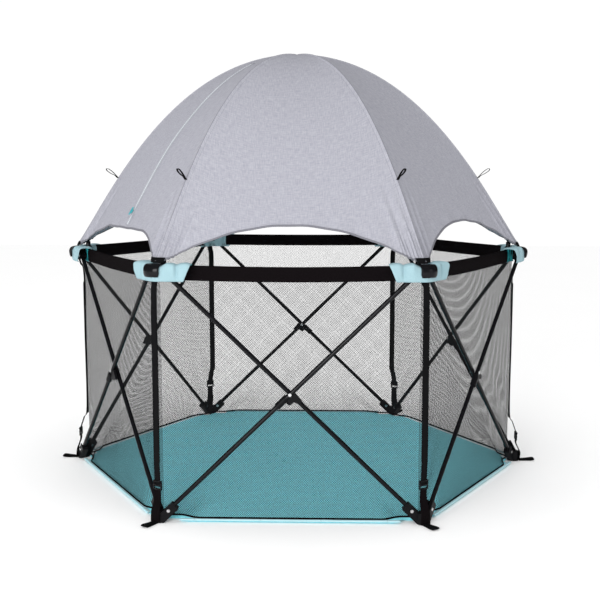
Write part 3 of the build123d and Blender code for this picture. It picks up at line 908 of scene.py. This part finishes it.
for k in range(6):
    half_wall = (APOTHEM + WALL_OUT) * tan(radians(30)) - 0.0008
    points, faces, values = wall_strip(k, 72, 84, half_wall, MAT_TOP - 0.001, RAIL_LOW + 0.004)
    wall = piece(f"wall_netting_{k}", f"top_{k}", points, faces, netting, {"cloth": values})
    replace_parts(wall, "mesh_walls")
    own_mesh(wall)
    points, faces, values = wall_strip(k, 5, 84, half_wall, MAT_TOP - 0.0022, MAT_TOP + 0.0022)
    maps = {"cloth": values}
    hem_tape = piece(f"wall_binding_{k}", f"top_{k}", points, faces, rail_cloth, maps)
    thick = hem_tape.modifiers.new("thick", "SOLIDIFY")
    thick.thickness = 0.0018
    thick.offset = 0
    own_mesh(hem_tape)


# Floor mat and piping, cut into wedges

MAT_EDGE, MAT_INNER = 0.596, 0.5709
HUB_REACH = 0.056
WEDGES = 24
WEDGE_COLUMNS = 10


def mat_radius(turn):
    """Distance to the mat's edge in a direction, cut back round the foot hubs."""
    delta = (turn + pi / 6) % (pi / 3) - pi / 6
    beside_hub = abs(MAT_EDGE * tan(delta)) - (HALF_SIDE - HUB_REACH)
    edge = MAT_EDGE + (MAT_INNER - MAT_EDGE) * smooth(-0.004, 0.010, beside_hub)
    return edge / cos(delta)


def mat_height(x, y, share):
    soft = 0.0022 * ripple(x, y, 0, 0.13) + 0.0012 * ripple(x, y, 7, 0.05)
    fall = 0.0065 * smooth(0.955, 1.0, share) ** 2
    return MAT_TOP - 0.0012 + soft * smooth(1.0, 0.93, share) * 0.8 - fall


def build_mat():
    rows = 40
    columns = WEDGES * WEDGE_COLUMNS
    points, values = [Vector((0, 0, mat_height(0, 0, 0)))], [(0, 0)]
    first = radians(30)
    for i in range(1, rows + 3):
        share = min((i / rows) ** 0.9, 1)
        for j in range(columns):
            turn = 2 * pi * (j - WEDGE_COLUMNS / 2) / columns
            radius = mat_radius(turn - first) * share
            x, y = radius * cos(turn), radius * sin(turn)
            if i <= rows:
                z = mat_height(x, y, share)
            else:
                z = 0.0035 if i == rows + 1 else 0.0008
                pull = 1 - (0.0 if i == rows + 1 else 0.004)
                x, y = x * pull, y * pull
            points.append(Vector((x, y, z)))
            values.append((x, y))
    faces = [(0, 1 + j, 1 + (j + 1) % columns) for j in range(columns)]
    faces += [tuple(reversed(f)) for f in grid_faces(rows + 2, columns, True, 1)]
    low_ring = 1 + (rows + 1) * columns
    centre = len(points)
    points.append(Vector((0, 0, 0.0008)))
    values.append((0, 0))
    faces += [(centre, low_ring + (j + 1) % columns, low_ring + j) for j in range(columns)]
    whole = bpy.data.meshes.new("whole_mat")
    whole.from_pydata([tuple(p) for p in points], [], faces)
    normals = [v.normal.copy() for v in whole.vertices]
    made = []
    for w in range(WEDGES):
        mine = [f for f in faces if wedge_of(f, columns, centre) == w]
        used = sorted({i for f in mine for i in f})
        place = {old: new for new, old in enumerate(used)}
        corners = [points[i] for i in used]
        wedge = [tuple(place[i] for i in f) for f in mine]
        maps = {"cloth": [values[i] for i in used]}
        part = piece(f"mat_{w}", "floor", corners, wedge, mat_cloth, maps)
        part.data.normals_split_custom_set_from_vertices([normals[i] for i in used])
        draw_in(part)
        made.append(part)
    bpy.data.meshes.remove(whole)
    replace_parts(made[0], "floor_mat")


def wedge_of(face, columns, centre):
    """Wedge that a face of the whole mat belongs to."""
    places = [(i - 1) % columns for i in face if i not in (0, centre)]
    low, high = min(places), max(places)
    return (high if high - low > 2 else low) // WEDGE_COLUMNS


def draw_in(part):
    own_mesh(part)


def build_piping():
    """Piping along the mat's six straight edges, in the same wedges as the mat."""
    radius = 0.0028
    half = HALF_SIDE - HUB_REACH
    parts = {}
    for k in range(6):
        middle = radians(-30 + 60 * k)
        normal = panel_dir(k)
        cuts = []
        for i in range(121):
            along = -half + 2 * half * i / 120
            turn = middle + atan2(along, APOTHEM + 0.0098)
            cuts.append((along, int(((turn / (2 * pi)) * WEDGES + 0.5) // 1) % WEDGES))
        for w in sorted({c[1] for c in cuts}):
            mine = [a for a, c in cuts if c == w]
            step = 2 * half / 120
            mine.append(min(mine[-1] + step, half))
            path = []
            for along in mine:
                wave = 0.0006 * ripple(along, k, 0, 0.06)
                path.append(on_panel(k, along, 0.0098 + wave, MAT_TOP - 0.0042 + wave))
            if len(path) > 1:
                tube = rod(path, radius, 14)
                flange = strip([p - normal * 0.004 + UP * 0.0012 for p in path], normal, 0.008, 0.0016)
                parts.setdefault(w, []).extend((tube, flange))
    first = None
    for w, shapes in sorted(parts.items()):
        points, faces, values = joined(shapes)
        part = piece(f"piping_{w}", "floor", points, faces, piping_cloth, {"cloth": values})
        draw_in(part)
        first = first or part
    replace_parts(first, "floor_piping")


build_mat()
build_piping()


# Webbing at the corners: straps, ladder locks, gussets and stake loops


def lock_shape(k, height):
    """Ladder lock: a rounded frame with two slots and a tilted thumb bar."""
    side = across(corner_dir(k))
    out = corner_dir(k)
    parts = []
    for way in (-1, 1):
        ends = [at_corner(k, WEB_OUT, way * 0.0118, height + z) for z in (-0.0118, 0.0118)]
        parts.append(swept(ends, [side] * 2, [out] * 2, band_outline(0.0034, 0.0052, 0.0012, 3)))
    for z, lean in ((-0.0105, 0.0), (0.0, 0.0008), (0.0108, 0.0016)):
        ends = [at_corner(k, WEB_OUT + lean, y, height + z) for y in (-0.0125, 0.0125)]
        parts.append(swept(ends, [UP] * 2, [out] * 2, band_outline(0.0036, 0.0048, 0.0014, 3)))
    return joined(parts)


def gusset_shape(k, height):
    """Tapered black cloth between the ladder lock and the foot hub."""
    low, top = 0.0022, height - 0.0125
    points, values = [], []
    rows, columns = 24, 11
    for i in range(rows):
        share = i / (rows - 1)
        z = low + (top - low) * share
        half = 0.0142 - 0.0042 * smooth(0.15, 0.9, share)
        over_hub = (KNUCKLE_FACE - WEB_OUT) * smooth(0.062, 0.026, z)
        for j in range(columns):
            side = -1 + 2 * j / (columns - 1)
            fold = 0.0012 * sin(3 * side + 9 * share + k) * sin(pi * share)
            points.append(at_corner(k, WEB_OUT + over_hub + fold, side * half, z))
            values.append((side * half, z))
    return points, grid_faces(rows, columns), values


def stake_shape(k):
    """Webbing folded on itself along the ground, with its end curled off it."""
    lower = [(0.6965, 1.2), (0.712, 1.2), (0.727, 1.4), (0.738, 2.4), (0.7430, 4.6)]
    lower += [(0.7415, 6.8), (0.734, 7.0), (0.720, 5.0), (0.706, 3.6), (0.6965, 3.2)]
    path = [corner_dir(k) * p.x + UP * p.y for p in through([(r, z * MM, 0) for r, z in lower], 44)]
    return strip(path, across(corner_dir(k)), 0.019, 0.0014)


def strap_shape(k, places):
    """Webbing through places given as (distance out from the corner axis, height)."""
    line = through([(o, z, 0) for o, z in places], 60)
    path = [at_corner(k, p.x, 0.0005 * sin(9 * p.y + k), p.y) for p in line]
    return strip(path, across(corner_dir(k)), 0.0190, 0.0013)


for k in range(6):
    lock = LOCK_HEIGHTS[k]
    wall_edge = (WALL_OUT / cos(radians(30))) + 0.0022
    if k in STRAIGHT_STRAPS:
        wall_edge = WEB_OUT + 0.001
    places = ((0, 0.648), (wall_edge / 2, 0.618), (wall_edge, 0.585))
    places += ((wall_edge, 0.4), (wall_edge, lock + 0.06))
    points, faces, values = strap_shape(k, places)
    maps = {"cloth": values}
    upper = piece(f"strap_upper_{k}", f"top_{k}", points, faces, webbing_cloth, maps)
    over = wall_edge + 0.0016
    places = ((WEB_OUT, lock - 0.004), (WEB_OUT, lock + 0.012), ((WEB_OUT + over) / 2, lock + 0.045))
    places += ((over, lock + 0.085), (over, 0.4), (over, 0.560))
    points, faces, values = strap_shape(k, places)
    piece(f"strap_lower_{k}", f"foot_{k}", points, faces, webbing_cloth, {"cloth": values})
    points, faces, values = lock_shape(k, lock)
    maps = {"cloth": values}
    ladder = piece(f"ladder_lock_{k}", f"foot_{k}", points, faces, gloss_finish, maps)
    points, faces, values = gusset_shape(k, lock)
    gusset = piece(f"gusset_{k}", f"foot_{k}", points, faces, rail_cloth, {"cloth": values})
    thick = gusset.modifiers.new("thick", "SOLIDIFY")
    thick.thickness = 0.0018
    thick.offset = 0
    points, faces, values = stake_shape(k)
    maps = {"cloth": values}
    stake = piece(f"stake_webbing_{k}", f"foot_{k}", points, faces, webbing_cloth, maps)
    if k == 0:
        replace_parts(upper, "corner_straps")
        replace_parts(ladder, "strap_adjusters")
        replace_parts(gusset, "strap_gussets")
        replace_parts(stake, "stake_loops")


# Stage, light and camera


def lamp(name, place, aim, size, power):
    data = bpy.data.lights.new(name, "AREA")
    data.shape = "RECTANGLE"
    data.size, data.size_y = size
    data.energy = power
    obj = bpy.data.objects.new(name, data)
    obj.location = place
    obj.rotation_euler = (Vector(aim) - Vector(place)).to_track_quat("-Z", "Y").to_euler()
    bpy.context.scene.collection.objects.link(obj)


def ground_look():
    look = Look("studio_floor", (0.96, 0.96, 0.96), 0.9, Specular_IOR_Level=0.1)
    cloud = look.noise(look.coords(), 0.8, 3.0)
    look.color(look.shade(cloud, (0.985, 0.985, 0.985), (0.995, 0.995, 0.995)))
    return look.material


floor = bpy.data.meshes.new("studio_floor")
reach = 9.0
floor_corners = [(-reach, -reach, 0), (reach, -reach, 0), (reach, reach, 0), (-reach, reach, 0)]
floor.from_pydata(floor_corners, [], [(0, 1, 2, 3)])
floor.materials.append(ground_look())
ground = bpy.data.objects.new("studio_floor", floor)
bpy.context.scene.collection.objects.link(ground)

world = bpy.data.worlds.new("studio")
world.use_nodes = True
soft_white = world.node_tree.nodes["Background"]
soft_white.inputs["Color"].default_value = (1, 1, 1, 1)
ray = world.node_tree.nodes.new("ShaderNodeLightPath")
strength = world.node_tree.nodes.new("ShaderNodeMath")
strength.operation = "MULTIPLY_ADD"
strength.inputs[1].default_value = -0.96  # hard pieces mirror a darker room, so black stays black
strength.inputs[2].default_value = 1.02
world.node_tree.links.new(ray.outputs["Is Glossy Ray"], strength.inputs[0])
world.node_tree.links.new(strength.outputs[0], soft_white.inputs["Strength"])
bpy.context.scene.world = world
lamp("key", (-1.5, -4.2, 1.3), (0, 0, 0.75), (2.2, 1.6), 125)
lamp("fill", (3.8, -2.6, 1.5), (0, 0, 0.6), (1.4, 1.4), 12)
bpy.context.scene.view_settings.view_transform = "Standard"

camera_data = bpy.data.cameras.new("camera")
camera_data.lens = 61.3
camera_data.sensor_width = 36
camera = bpy.data.objects.new("camera", camera_data)
camera.location = (0.0959, -3.1399, 0.9095)
camera.rotation_euler = (radians(90 - 7.344), 0, radians(1.584))
bpy.context.scene.collection.objects.link(camera)
bpy.context.scene.camera = camera
